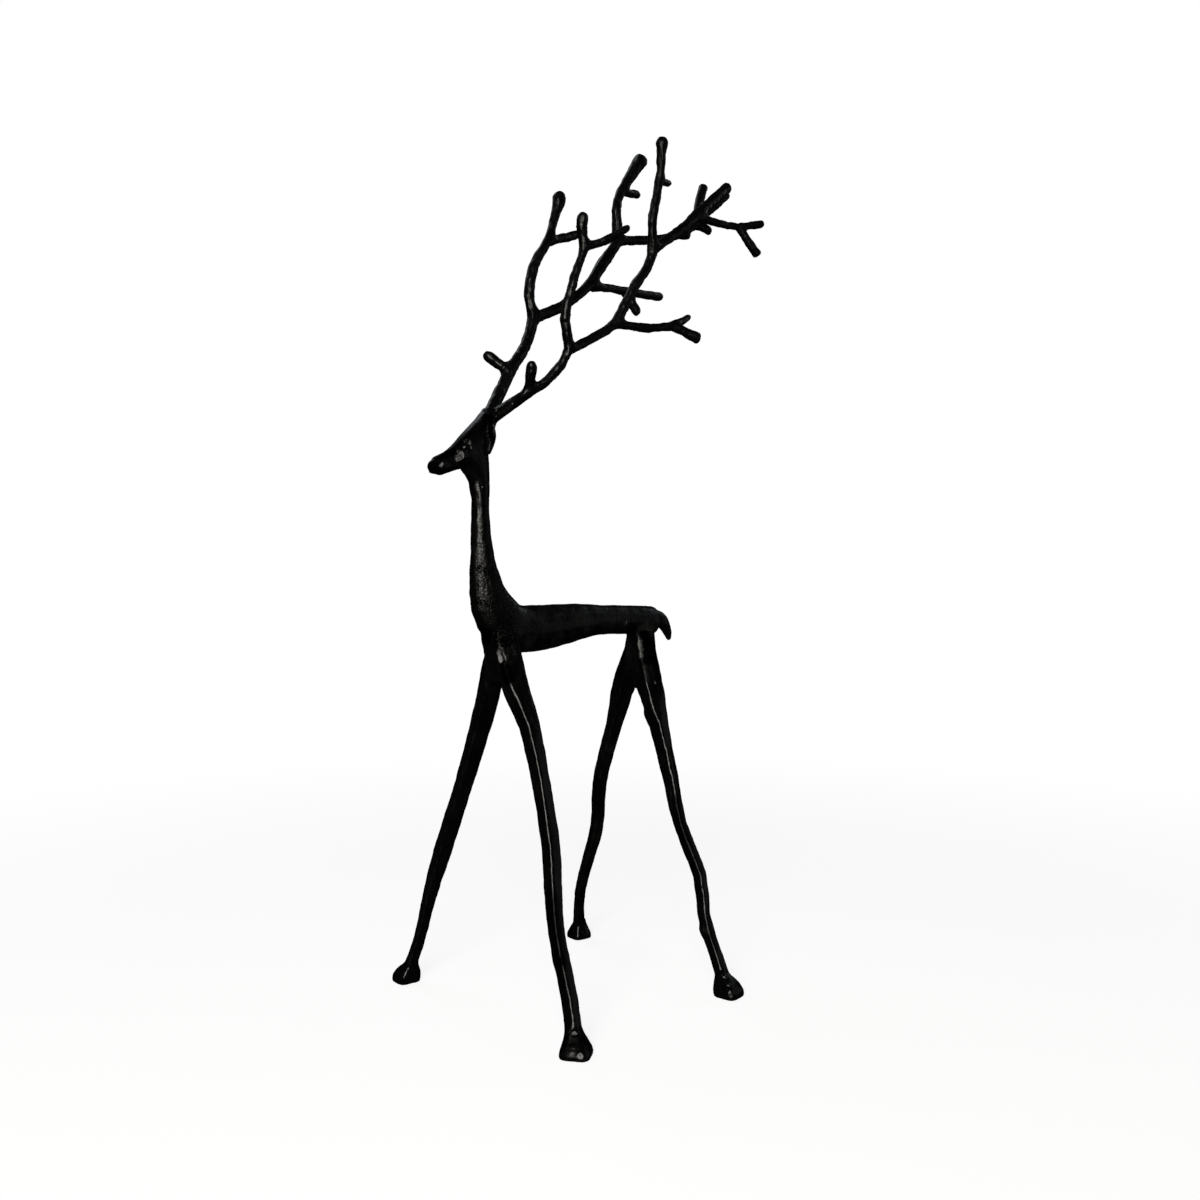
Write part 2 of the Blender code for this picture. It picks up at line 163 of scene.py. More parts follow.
class Skin:
    """Fine mesh of the casting, worked on as arrays of points."""

    SHRINK_STEP = 0.62
    SWELL_STEP = -0.645
    INSIDE = 0.5
    CREASE_BLUR = 3
    FULL_WEB = 0.5
    STREAK_FOCUS = 4
    STREAK_LEAK = 0.01
    STREAK_PULL = (0.4, 0.6)
    STREAK_LIMIT = 1.5
    SPECKLE_LIMIT = 1.2
    TINY = 1e-12

    def __init__(self, mesh: Mesh) -> None:
        """Read a closed mesh in metres."""
        self.mesh = mesh
        self.read()

    def read(self) -> None:
        """Take the points and the edges from the mesh."""
        count = len(self.mesh.vertices)
        flat = np.empty(count * 3)
        self.mesh.vertices.foreach_get("co", flat)
        self.points = flat.reshape(-1, 3)
        pairs = np.empty(len(self.mesh.edges) * 2, np.int32)
        self.mesh.edges.foreach_get("vertices", pairs)
        pairs = pairs.reshape(-1, 2)
        self.sources = np.concatenate([pairs[:, 0], pairs[:, 1]])
        self.targets = np.concatenate([pairs[:, 1], pairs[:, 0]])

    def write(self) -> None:
        """Put the points back into the mesh."""
        self.mesh.vertices.foreach_set("co", self.points.ravel())
        self.mesh.update()

    def normals(self) -> Array:
        """Measure which way the surface faces.

        Returns:
            The unit normal at each point.
        """
        self.write()
        flat = np.empty(len(self.points) * 3)
        self.mesh.vertex_normals.foreach_get("vector", flat)
        return flat.reshape(-1, 3)

    def averaged(self, values: Array, weights: Array | None = None) -> Array:
        """Average values over each point's neighbours.

        Args:
            values: One number or one row per point.
            weights: Optional weight of each directed edge.

        Returns:
            The averages, in the shape of values.
        """
        count = len(self.points)
        if weights is None:
            weights = np.ones(len(self.sources))
        total = np.bincount(self.sources, weights, count)
        columns = values.reshape(count, -1)
        sums = [
            np.bincount(self.sources, weights * column[self.targets], count)
            for column in columns.T
        ]
        return (np.stack(sums, 1) / total[:, None]).reshape(values.shape)

    def fair(self, rounds: int, mask: Array | float = 1.0) -> None:
        """Smooth the surface without thinning it.

        Args:
            rounds: Number of smoothing and swelling passes.
            mask: Strength from 0 to 1, at each point or everywhere.
        """
        mask = np.broadcast_to(np.asarray(mask, float), (len(self.points),))[:, None]
        for _ in range(rounds):
            for step in (self.SHRINK_STEP, self.SWELL_STEP):
                self.points += step * mask * (self.averaged(self.points) - self.points)

    def bulge(self) -> Array:
        """Return how far each point stands out from its neighbours, in metres."""
        normals = self.normals()
        return np.einsum("ij,ij->i", normals, self.points - self.averaged(self.points))

    def sharpen(self, near: int, far: int, height: float, mask: Array) -> None:
        """Crisp up the lengthwise corners, as a scraper leaves them.

        Args:
            near: Rounds of blur that make up the width of a corner.
            far: Rounds of blur that make up the width of a whole side.
            height: Height in metres of a well-marked corner.
            mask: Strength from 0 to 1 at each point.
        """
        fine = self.settle(self.bulge(), near)
        corner = fine - self.settle(fine, far)
        corner = evened(corner, corner[mask > self.INSIDE])
        self.push(height * np.clip(corner, -1.0, 1.0) * mask)

    def fill(self, rounds: int, mask: Array | float = 1.0) -> None:
        """Fill hollow corners, as molten metal rounds them, and leave the rest alone.

        Args:
            rounds: Number of passes, which sets how far the fillets spread.
            mask: Strength from 0 to 1, at each point or everywhere.
        """
        for _ in range(rounds):
            normals = self.normals()
            rise = np.einsum("ij,ij->i", normals, self.averaged(self.points) - self.points)
            self.points += normals * (np.clip(rise, 0.0, None) * mask)[:, None]

    def web(self, share: float, breadth: int, height: float, mask: Array) -> None:
        """Thicken the forks with webs, wider than the fillets that fill leaves.

        Args:
            share: Share of the masked surface that counts as the hollow of a fork.
            breadth: Rounds of blur that make up the width of a web.
            height: Height of a web in metres.
            mask: Strength from 0 to 1 at each point.
        """
        bulge = self.settle(self.bulge(), self.CREASE_BLUR)
        creases = mask * (bulge < np.quantile(bulge[mask > self.INSIDE], share))
        near = self.settle(creases, breadth)
        self.push(height * np.clip(near / (self.FULL_WEB * near.max()), 0.0, 1.0))

    def settle(self, values: Array, rounds: int) -> Array:
        """Blur values over the surface.

        Args:
            values: One number or one row per point.
            rounds: Number of passes.

        Returns:
            The blurred values.
        """
        for _ in range(rounds):
            values = 0.5 * values + 0.5 * self.averaged(values)
        return values

    def limb_axes(self, rounds: int) -> Array:
        """Find which way the limb runs at each point.

        Args:
            rounds: How far round each point the normals are gathered.

        Returns:
            A unit direction for each point, square to all the normals near it.
        """
        normals = self.normals()
        products = normals[:, :, None] * normals[:, None, :]
        products = self.settle(products.reshape(-1, 9), rounds).reshape(-1, 3, 3)
        return np.linalg.eigh(products)[1][:, :, 0]

    def strokes(
        self, axes: Array, rounds: int, seed: int, across: bool, breadth: int = 0
    ) -> Array:
        """Draw random numbers out into streaks over the surface.

        Args:
            axes: Direction of the limb at each point.
            rounds: Length of the streaks, in edges.
            seed: Seed of the random numbers.
            across: Whether the streaks run round the limb and not along it.
            breadth: Rounds of blur that make up the breadth of a streak.

        Returns:
            One number for each point, about -1 to 1.
        """
        steps = self.points[self.targets] - self.points[self.sources]
        steps /= np.linalg.norm(steps, axis=1)[:, None] + self.TINY
        along = np.einsum("ij,ij->i", steps, axes[self.sources]) ** 2
        weights = (1.0 - along if across else along) ** self.STREAK_FOCUS + self.STREAK_LEAK
        values = np.random.default_rng(seed).normal(size=len(self.points))
        values = self.settle(values, breadth)
        keep, pull = self.STREAK_PULL
        for _ in range(rounds):
            values = keep * values + pull * self.averaged(values, weights)
        return np.clip(evened(values), -self.STREAK_LIMIT, self.STREAK_LIMIT)

    def speckle(self, seed: int) -> Array:
        """Return random numbers, about -1 to 1, that change from point to point."""
        values = self.settle(np.random.default_rng(seed).normal(size=len(self.points)), 1)
        return np.clip(evened(values), -self.SPECKLE_LIMIT, self.SPECKLE_LIMIT)

    def push(self, heights: Array) -> None:
        """Move each point along its normal by a height in metres."""
        self.points += self.normals() * heights[:, None]

    def attribute(self, name: str, values: Array) -> None:
        """Store one number per point under a name that the finish reads."""
        layer = self.mesh.attributes.new(name, "FLOAT", "POINT")
        layer.data.foreach_set("value", values.astype(np.float32))


def touched(points: Array, sign: int, place: Place) -> Array:
    """Return the surface point nearest to a place, or to its mirror image for sign -1."""
    aim = np.array(placed(sign * place[0], *place[1:]))
    return points[np.argmin(((points - aim) ** 2).sum(1))]


class Patch(ABC):
    """Shape worked into the wax with a tool, or laid on as a patch of the finish."""

    radius: float
    height: float
    side: Side

    @abstractmethod
    def gaps(self, points: Array, sign: int) -> Array:
        """Return how far each point lies from the middle of the mark, in metres."""

    def cover(self, points: Array) -> Array:
        """Return the height, or the strength of the finish, that each point gets."""
        sides = [self.gaps(points, sign) / (self.radius * MM) for sign in self.side.value]
        return sum(fall(share) for share in sides) * self.height

    def work(self, skin: Skin) -> None:
        """Make the mark in the wax."""
        skin.push(self.cover(skin.points) * MM)


@dataclass(frozen=True)
class Dab(Patch):
    """Round mound pressed onto the wax, or a dent pressed into it."""

    place: Place
    radius: float
    height: float
    side: Side = Side.BOTH

    def gaps(self, points: Array, sign: int) -> Array:
        """Return how far each point lies from the place."""
        return np.linalg.norm(points - touched(points, sign, self.place), axis=1)


@dataclass(frozen=True)
class Line(Patch):
    """Groove or ridge drawn with a tool along a path."""

    path: tuple[Place, ...]
    radius: float
    height: float
    side: Side = Side.BOTH

    def gaps(self, points: Array, sign: int) -> Array:
        """Measure how far each point lies from the path.

        Args:
            points: The surface points.
            sign: 1 for the path as drawn, -1 for its mirror image.

        Returns:
            The distance of each point in metres.
        """
        knots = [touched(points, sign, knot) for knot in self.path]
        nearest = np.full(len(points), np.inf)
        for start, end in zip(knots, knots[1:]):
            run = end - start
            part = np.clip((points - start) @ run / (run @ run), 0.0, 1.0)
            gap = np.linalg.norm(points - start - part[:, None] * run, axis=1)
            nearest = np.minimum(nearest, gap)
        return nearest


@dataclass(frozen=True)
class Flat:
    """Flat pared with a knife, facing a given way."""

    place: Place
    radius: float
    rise: float
    sink: float = 0.1
    side: Side = Side.ONE
    azimuth: float = 46.0
    grip: float = 3.0

    def work(self, skin: Skin) -> None:
        """Draw the wax round the place onto a plane.

        Args:
            skin: The skin to work on.
        """
        turn, climb = math.radians(self.azimuth), math.radians(self.rise)
        for sign in self.side.value:
            level = (sign * math.sin(turn), -math.cos(turn))
            facing = np.array([*(math.cos(climb) * part for part in level), math.sin(climb)])
            gaps = skin.points - touched(skin.points, sign, self.place)
            share = np.linalg.norm(gaps, axis=1) / (self.radius * MM)
            part = eased(plateau(share))
            part *= np.clip(self.grip * skin.normals() @ facing, 0.0, 1.0)
            above = gaps @ facing + self.sink * MM
            skin.points -= (part * above)[:, None] * facing


Mark = Patch | Flat


def covered(points: Array, patches: tuple[Patch, ...]) -> list[Array]:
    """Return the strength of each patch of finish at each point."""
    return [patch.cover(points) for patch in patches]


@dataclass
class HeadDetail:
    """Marks that give the animal its face, with patches of painted shade and of pitted grain."""

    low: Place = (-12, -104, 284)
    high: Place = (12, -52, 333)
    edge: float = 4.0
    marks: tuple[Mark, ...] = (
        Dab((4.8, -86.8, 299.4), 5.6, -1.3),
        Dab((6.8, -76.5, 300), 7.4, 1.2),
        Flat((5.3, -81.4, 300.4), 4.8, 4, -0.1, Side.BOTH),
        Dab((5.4, -77.6, 306.6), 4.2, -1.1),
        Dab((5.2, -77.7, 306.2), 1.9, 1.1),
        Flat((5.8, -75.6, 308.8), 1.45, 4, 0, Side.BOTH),
        Flat((6.2, -75.2, 305.2), 1.4, 6, 0, Side.BOTH),
        Flat((5, -78.9, 305.2), 1.5, 8, 0, Side.BOTH),
        Flat((6.2, -78.2, 303), 1.4, 6, 0, Side.BOTH),
        Dab((3.8, -93.4, 295), 1.9, -0.9),
        Dab((0, -75.8, 294), 4.4, 0.7, Side.ONE),
        Flat((3.8, -93.2, 294.4), 1.3, 6, 0.2, Side.BOTH),
        Flat((4.9, -92, 295.6), 1.6, 6, 0, Side.BOTH),
        Line(((3, -96.8, 291.8), (4.2, -93.6, 291), (4.4, -89.6, 292.2)), 0.9, -0.65),
        Line(((3.4, -96.4, 290.2), (4.3, -92.6, 289.4)), 1.2, 0.35),
        Line(((3.4, -63.5, 324.5), (3.9, -70, 316.5), (3.5, -76, 309.5)), 3.2, 0.3),
        Line(((0, -62, 327), (0, -74, 312.5)), 2.8, -0.25, Side.ONE),
        Flat((7.4, -64.8, 316.5), 7, 8, 0.25, Side.BOTH, azimuth=78),
        Line(((6.6, -64, 322.5), (7.9, -64.6, 318), (8.4, -64.6, 312.5)), 1, 0.6),
        Line(((7.9, -62, 319.5), (9, -61.8, 313), (8.2, -62.4, 308.5)), 1.6, -0.7),
        Dab((1.4, -62.8, 327.2), 1.4, -0.8, Side.ONE),
        Line(((7.2, -58.6, 325.4), (9.8, -51, 331)), 1.6, -0.6, Side.ONE),
        Line(((6.4, -58.2, 327), (9, -51, 333)), 1.1, 0.5, Side.ONE),
        Line(((8, -59, 323.6), (10.6, -51.4, 329.2)), 1.1, 0.5, Side.ONE),
    )
    # Painted shade: matt black patches that take the highlights off the ear, the lip, the nose tip,
    # the forehead and the cheek's edge.
    painted_shade_and_specks: tuple[Patch, ...] = (
        Line(((7, -63.4, 321), (8.6, -63.2, 311)), 6, 0.85),
        Line(((3.2, -96.6, 291), (4.4, -90.6, 291)), 2.6, 0.85),
        Dab((2.6, -98.6, 293.6), 4.6, 0.8),
        Dab((3, -97, 294.4), 3.6, 0.9),
        Line(((2, -78, 311), (1, -86, 304), (0.5, -92, 300.6)), 6.5, 0.95),
        Line(((3, -63.5, 322), (3, -74, 313)), 6, 0.68),
        Dab((4.2, -84.4, 301.8), 3.4, 0.7),
        Dab((5.4, -80.2, 297.4), 2.6, 0.6),
    )
    pitted: tuple[Patch, ...] = (Dab((5.1, -82, 300.6), 9, 1),)

    def cover(self, points: Array) -> Array:
        """Return 1 at points of the head and 0 elsewhere, with a soft edge."""
        low, high = np.array(placed(*self.low)), np.array(placed(*self.high))
        return np.clip(np.minimum(points - low, high - points).min(1) / (self.edge * MM), 0.0, 1.0)

    def refine(self, mesh: Mesh) -> None:
        """Halve the squares over the head, where the smallest marks are.

        Args:
            mesh: The casting's mesh, which is changed.
        """
        low, high = placed(*self.low), placed(*self.high)
        shape = bmesh.new()
        shape.from_mesh(mesh)
        inside = {
            vert
            for vert in shape.verts
            if all(low[axis] < vert.co[axis] < high[axis] for axis in range(3))
        }
        edges = [edge for edge in shape.edges if set(edge.verts) <= inside]
        bmesh.ops.subdivide_edges(shape, edges=edges, cuts=1, use_grid_fill=True)
        crowded = [face for face in shape.faces if len(face.verts) > 4]
        bmesh.ops.triangulate(shape, faces=crowded)
        shape.to_mesh(mesh)
        shape.free()


@dataclass
class BodyDetail:
    """Marks of the maker's hand on the trunk, the legs and the antlers, with patches of painted
    shade, painted sheen and dull gloss.
    """

    marks: tuple[Mark, ...] = (
        Flat((8.8, -59.8, 196), 3, 9, 0.1, Side.BOTH),
        Flat((10.2, -58.9, 192.4), 3.6, 9, 0.1, Side.BOTH),
        Flat((8.3, 48.3, 197.2), 2.2, 7, 0.15, Side.BOTH),
        Flat((8.8, 48.1, 191), 2.2, 7, 0.15, Side.BOTH),
        Line(((5.4, -67.2, 250), (6, -66.8, 238), (7.2, -65.2, 222)), 6, -0.45),
        Dab((5.6, 49.6, 170.6), 4.6, 1.7, Side.ONE),
        Dab((7.2, 49.2, 167.2), 3.4, 0.9, Side.ONE),
        Dab((9.6, 48.6, 158.8), 6, -0.9, Side.ONE),
        Dab((-9, 59, 168.6), 4, 0.8, Side.ONE),
        Dab((55, 51.9, 33.4), 5.5, 0.9, Side.ONE),
        Flat((7.1, 37.4, 210.9), 2.4, 7),
        Flat((8.2, 41.2, 213.4), 1.8, 7, azimuth=60),
        Flat((17, 52.1, 174.5), 2, 7, 0.2),
        Dab((4.5, -67.3, 285.4), 1.3, -0.35, Side.ONE),
        Flat((83.1, -64.9, 3.5), 1.8, 7),
        Flat((75.4, -62.8, 15.6), 1.7, 8),
        Flat((76.2, -62.4, 11.6), 1.9, 10),
        Flat((79.2, 50.3, 4), 2.6, 8),
        Flat((77.4, 50.6, 8.4), 1.6, 8),
        Flat((75.4, 51.4, 13.6), 1.8, 8),
        Flat((-58.8, 58.9, 4.4), 1.6, 7),
    )
    # Painted shade: matt black patches that dim the leg highlights in stretches and take them off
    # the shoulders, haunches, hooves, neck and one antler tine.
    painted_shade_and_specks: tuple[Patch, ...] = (
        Line(((54.3, -59.1, 72), (57.3, -59.6, 62.4), (63.5, -60.9, 43.9)), 6, 0.75),
        Line(((35.9, 51, 106.5), (39, 51.2, 94.9), (43.3, 51.9, 83.7)), 7, 0.75),
        Line(((62, 52.5, 40), (67, 52.5, 28)), 5, 0.5),
        Line(((64.2, -61, 41), (67.4, -61.4, 27)), 6, 0.5),
        Line(((46, 53, 77), (50.5, 53.8, 66)), 5.5, 0.55),
        Dab((79, -60, 5), 6, 0.6),
        Dab((74, -64, 5), 6, 0.8),
        Dab((2, -61, 206), 9, 0.9),
        Dab((11, -55, 202.5), 11, 0.97),
        Dab((13.6, -56.8, 183.6), 8, 0.95),
        Dab((13.6, 55, 204), 9, 0.4),
        Line(((13.8, 55, 196), (14, 55, 187)), 8.5, 0.88),
        Dab((14.8, 54.8, 178), 8.5, 0.6),
        Line(((10.5, 51.2, 204), (11, 51, 188)), 4, 0.9),
        Dab((8.6, 49, 203), 4.6, 0.9),
        Line(((10.4, 48, 185.5), (11.4, 47.8, 178)), 5, 0.75),
        Line(((13.7, -57.6, 188.4), (16.4, -57.3, 181.8)), 4.5, 0.95),
        Line(((3.6, -68.4, 275.6), (5.6, -66.8, 274.8)), 2.6, 0.8),
        Line(((3, -68, 241.6), (8, -64.4, 239.6)), 3.4, 0.45),
        Line(((3, -67.4, 223.6), (9, -62.4, 221.6)), 3.4, 0.6),
        Dab((72, -66, 8), 8, 0.7),
        Dab((81, -60, 9), 7, 0.5),
        Line(((36.2, 37.9, 485.9), (33.4, 37.3, 463.3), (31.3, 35.8, 434.1)), 5, 0.6, Side.ONE),
    )
    # Painted sheen: the far hind leg gets the lighter body colour along its length, where its side
    # catches light.
    painted_sheen: tuple[Patch, ...] = (
        Line(((-12, 57, 180), (-33, 57, 106), (-56, 60, 40)), 12, 0.6, Side.ONE),
    )
    dull: tuple[Patch, ...] = (
        Line(((13.2, 55, 210), (13.8, 55, 200)), 10, 0.8),
        Dab((8.6, 49, 206), 6, 0.7),
    )


@dataclass(frozen=True)
class Zones:
    """Where one part of the casting gives way to the next, in drawing millimetres."""

    leg_top: Climb = Climb(185, 165)
    leg_foot: Climb = Climb(12, 22)
    antler_foot: Climb = Climb(328, 340)
    neck_foot: Climb = Climb(192, 208)
    neck_top: Climb = Climb(300, 240)
    neck_back: Climb = Climb(-38, -50)
    trunk_belly: Climb = Climb(178, 196)
    trunk_back: Climb = Climb(262, 228)
    trunk_breast: Climb = Climb(-52, -36)
    joints: tuple[tuple[Place, float], ...] = (
        ((0, -51, 196), 46),
        ((0, 56, 196), 44),
    )

    def legs(self, points: Array) -> Array:
        """Return 1 on the legs above the hooves, falling to 0 at the body and the hoof."""
        z = drawn(points, 2)
        return self.leg_top.at(z) * self.leg_foot.at(z)

    def antlers(self, points: Array) -> Array:
        """Return 1 on the antlers, falling to 0 where they meet the skull."""
        return self.antler_foot.at(drawn(points, 2))

    def neck(self, points: Array) -> Array:
        """Return 1 low on the neck, falling to 0 at the head and behind the breast."""
        y, z = drawn(points, 1), drawn(points, 2)
        return self.neck_foot.at(z) * self.neck_top.at(z) * self.neck_back.at(y)

    def trunk(self, points: Array) -> Array:
        """Return 1 on the body, falling to 0 up the neck and down the legs."""
        y, z = drawn(points, 1), drawn(points, 2)
        return self.trunk_belly.at(z) * self.trunk_back.at(z) * self.trunk_breast.at(y)

    def near_joints(self, points: Array) -> Array:
        """Find where the legs run into the body.

        Args:
            points: The surface points.

        Returns:
            1 there, falling softly to 0 around.
        """
        total = np.zeros(len(points))
        for place, radius in self.joints:
            gap = np.linalg.norm(points - np.array(placed(*place)), axis=1)
            total = np.maximum(total, plateau(gap / (radius * MM)))
        return total


@dataclass(frozen=True)
class Dents:
    """Soft unevenness of hand-worked wax: dents of one size, with finer ones on them."""

    size: float
    depth: float
    finer_scale: float = 2.3
    finer_share: float = 0.4

    def heights(self, points: Array) -> Array:
        """Find the height that the dents give each point.

        Args:
            points: The surface points.

        Returns:
            The heights in metres.
        """
        scale = 1.0 / (self.size * MM)
        values = [noise.noise(Vector(point) * scale) for point in points]
        finer = [noise.noise(Vector(point) * scale * self.finer_scale) for point in points]
        mixed = np.array(values) + self.finer_share * np.array(finer)
        return mixed * self.depth * MM


@dataclass
class Reindeer:
    """The whole casting. Heights and sizes are in millimetres, rounds in passes."""

    name: str = "reindeer_casting"
    same_point: float = 0.001
    voxel: float = 0.6
    head: HeadDetail = field(default_factory=HeadDetail)
    body: BodyDetail = field(default_factory=BodyDetail)
    zones: Zones = Zones()
    first_fairing: int = 20
    fork_share: float = 0.025
    web_breadth: int = 26
    web_height: float = 1.1
    fillet: int = 24
    joint_fillet: int = 110
    antler_fillet: int = 30
    last_fairing: int = 6
    allowance: float = 0.16
    corner_breadth: int = 6
    side_breadth: int = 90
    corner_height: float = 0.3
    axis_reach: int = 24
    dents: Dents = Dents(9.0, 0.26)
    head_dents_lost: float = 0.75
    knobs: Dents = Dents(3.6, 0.26)
    leg_knobs: float = 0.35
    stroke_length: int = 26
    stroke_seed: int = 11
    ring_stroke_length: int = 10
    ring_stroke_seed: int = 12
    ring_stroke_share: float = 0.6
    stroke_depth: float = 0.06
    head_strokes_lost: float = 0.6
    flute_length: int = 40
    flute_seed: int = 14
    flute_breadth: int = 2
    flute_depth: float = 0.2
    leg_flutes: float = 0.25
    grain_height: float = 0.06
    grain_seed: int = 13
    sole_reach: float = 0.35
    ridge_breadth: int = 6
    ridge_field: int = 60
    trunk_grain: float = 0.45
    head_grain: float = 0.5
    plain_grain: float = 0.12
    antler_dulling: float = 0.25
    grain_dulling: float = 0.12
    streak_middle: float = 0.5
    streak_swing: float = 0.33
    most_triangles: int = 198_000

    def copy_solid(self) -> Object:
        """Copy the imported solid's shape.

        Returns:
            A new object with the shape, its points merged.
        """
        shape = bmesh.new()
        shape.from_mesh(frame["nodes"]["reindeer"].data)
        bmesh.ops.remove_doubles(shape, verts=shape.verts, dist=self.same_point * MM)
        mesh = bpy.data.meshes.new(self.name)
        shape.to_mesh(mesh)
        shape.free()
        made = bpy.data.objects.new(self.name, mesh)
        bpy.context.scene.collection.objects.link(made)
        return made

    def skin_over(self, made: Object) -> None:
        """Replace the facets by an even skin of small squares.

        Args:
            made: The casting's object.
        """
        even = made.modifiers.new("even skin", "REMESH")
        even.mode = "VOXEL"
        even.voxel_size = self.voxel * MM
        self.apply(made)

    def apply(self, made: Object) -> None:
        """Make the result of an object's modifiers its own mesh.

        Args:
            made: The casting's object.
        """
        bpy.context.view_layer.update()
        graph = bpy.context.evaluated_depsgraph_get()
        mesh = bpy.data.meshes.new_from_object(made.evaluated_get(graph))
        made.modifiers.clear()
        made.data = mesh
        mesh.name = self.name

    def round_off(self, skin: Skin) -> None:
        """Turn the facets into a smooth casting with fillets, webs and leg corners.

        Args:
            skin: The skin to work on.
        """
        skin.fair(self.first_fairing)
        antlers = self.zones.antlers(skin.points)
        skin.web(self.fork_share, self.web_breadth, self.web_height * MM, antlers)
        skin.fill(self.fillet)
        skin.fill(self.joint_fillet, self.zones.near_joints(skin.points))
        skin.fill(self.antler_fillet, self.zones.antlers(skin.points))
        skin.fair(self.last_fairing)
        skin.push(np.full(len(skin.points), self.allowance * MM))
        corner = self.corner_height * MM
        legs = self.zones.legs(skin.points)
        skin.sharpen(self.corner_breadth, self.side_breadth, corner, legs)

    def sculpt(self, mesh: Mesh) -> None:
        """Work the skin into its final shape and note where the finish varies.

        Args:
            mesh: The casting's mesh.
        """
        skin = Skin(mesh)
        self.round_off(skin)
        self.head.refine(mesh)
        skin.read()
        skin.fair(self.last_fairing, self.head.cover(skin.points))
        axes = skin.limb_axes(self.axis_reach)
        along = skin.strokes(axes, self.stroke_length, self.stroke_seed, across=False)
        rings = skin.strokes(axes, self.ring_stroke_length, self.ring_stroke_seed, across=True)
        trunk = self.zones.trunk(skin.points)
        head = self.head.cover(skin.points)
        antlers = self.zones.antlers(skin.points)
        skin.push(self.dents.heights(skin.points) * (1.0 - self.head_dents_lost * head))
        limbs = (1.0 - trunk) * (1.0 - head)
        share = self.leg_knobs + (1.0 - self.leg_knobs) * antlers
        skin.push(self.knobs.heights(skin.points) * share * limbs)
        for mark in (*self.body.marks, *self.head.marks):
            mark.work(skin)
        length, breadth = self.flute_length, self.flute_breadth
        flutes = skin.strokes(axes, length, self.flute_seed, across=False, breadth=breadth)
        share = self.leg_flutes + (1.0 - self.leg_flutes) * antlers
        skin.push(self.flute_depth * MM * flutes * share * limbs)
        strokes = along * (1.0 - trunk) + self.ring_stroke_share * rings * trunk
        depth = self.stroke_depth * MM
        skin.push(depth * strokes * (1.0 - self.head_strokes_lost * head))
        coarse = self.coarseness(skin.points)
        skin.push(self.grain_height * MM * coarse**2 * skin.speckle(self.grain_seed))
        self.keep_soles_flat(skin)
        self.note_finish(skin, along * (1.0 - trunk) + rings * trunk, trunk, coarse)
        skin.write()

    def keep_soles_flat(self, skin: Skin) -> None:
        """Press anything near the floor flat onto it.

        Args:
            skin: The skin to work on.
        """
        floor = CAD_BOX[0][2]
        near = skin.points[:, 2] < floor + self.sole_reach * MM
        skin.points[near, 2] = floor

    def note_finish(self, skin: Skin, streaks: Array, trunk: Array, coarse: Array) -> None:
        """Store what the finish reads at each point.

        Args:
            skin: The finished skin.
            streaks: The tool's streaks, about -1 to 1.
            trunk: Share of each point that belongs to the body.
            coarse: How coarse the grain is.
        """
        fine = skin.settle(skin.bulge(), self.ridge_breadth)
        edge = evened(fine - skin.settle(fine, self.ridge_field), fine)
        painted_sheen = covered(skin.points, self.body.painted_sheen)
        skin.attribute("ridge", np.clip(edge, 0.0, 1.0))
        skin.attribute("hollow", np.clip(-edge, 0.0, 1.0))
        # The far hind leg's painted sheen joins the body share here.
        skin.attribute("trunk", np.maximum.reduce([trunk, *painted_sheen]))
        skin.attribute("stroke", self.streak_middle + self.streak_swing * streaks)
        skin.attribute("coarse", coarse)
        skin.attribute("dull", self.dullness(skin.points))
        # Painted shade: where the finish turns matt black to take highlights off.
        skin.attribute("painted_shade_and_specks", self.painted_shade_and_specks(skin.points))

    def coarseness(self, points: Array) -> Array:
        """Find how coarse the cast grain is.

        Args:
            points: The surface points.

        Returns:
            1 low on the neck and on the pitted cheek, less elsewhere.
        """
        body = self.trunk_grain * self.zones.trunk(points)
        head = self.head_grain * self.head.cover(points)
        plain = np.full(len(points), self.plain_grain)
        pitted = covered(points, self.head.pitted)
        return np.maximum.reduce([self.zones.neck(points), body, head, plain, *pitted])

    def dullness(self, points: Array) -> Array:
        """Find how dull the gloss is.

        Args:
            points: The surface points.

        Returns:
            A share from 0 to 1: most on the haunches.
        """
        antlers = self.antler_dulling * self.zones.antlers(points)
        grain = self.grain_dulling * self.coarseness(points)
        patches = covered(points, self.body.dull)
        return np.clip(np.maximum.reduce([antlers, grain, *patches]), 0.0, 1.0)

    def painted_shade_and_specks(self, points: Array) -> Array:
        """Return where shade is painted as matt black patches that take the shine off, from 0 to 1.
        """
        return np.clip(sum(covered(points, (*self.head.painted_shade_and_specks, *self.body.painted_shade_and_specks))), 0.0, 1.0)

    def thin_out(self, made: Object) -> None:
        """Merge triangles where the surface is plain, down to the number allowed.

        Args:
            made: The casting's object.
        """
        fewer = made.modifiers.new("fewer triangles", "DECIMATE")
        fewer.ratio = min(1.0, self.most_triangles / triangles(made.data))
        fewer.use_collapse_triangulate = True
        self.apply(made)

    def build(self) -> Object:
        """Make the casting's mesh.

        Returns:
            The finished object, at the origin.
        """
        made = self.copy_solid()
        self.skin_over(made)
        self.sculpt(made.data)
        self.thin_out(made)
        made.data.shade_smooth()
        count = triangles(made.data)
        log.info("%s: %d triangles", made.name, count)
        if count > self.most_triangles:
            log.warning("%s is over %d triangles", made.name, self.most_triangles)
        return made

    def dress(self, made: Object, finish: Material) -> None:
        """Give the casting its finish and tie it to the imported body.

        Args:
            made: The casting's object.
            finish: The material.
        """
        made.data.materials.clear()
        made.data.materials.append(finish)
        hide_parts("reindeer")
        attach(made, "root")
        log.info("%s: dressed in %s", made.name, finish.name)


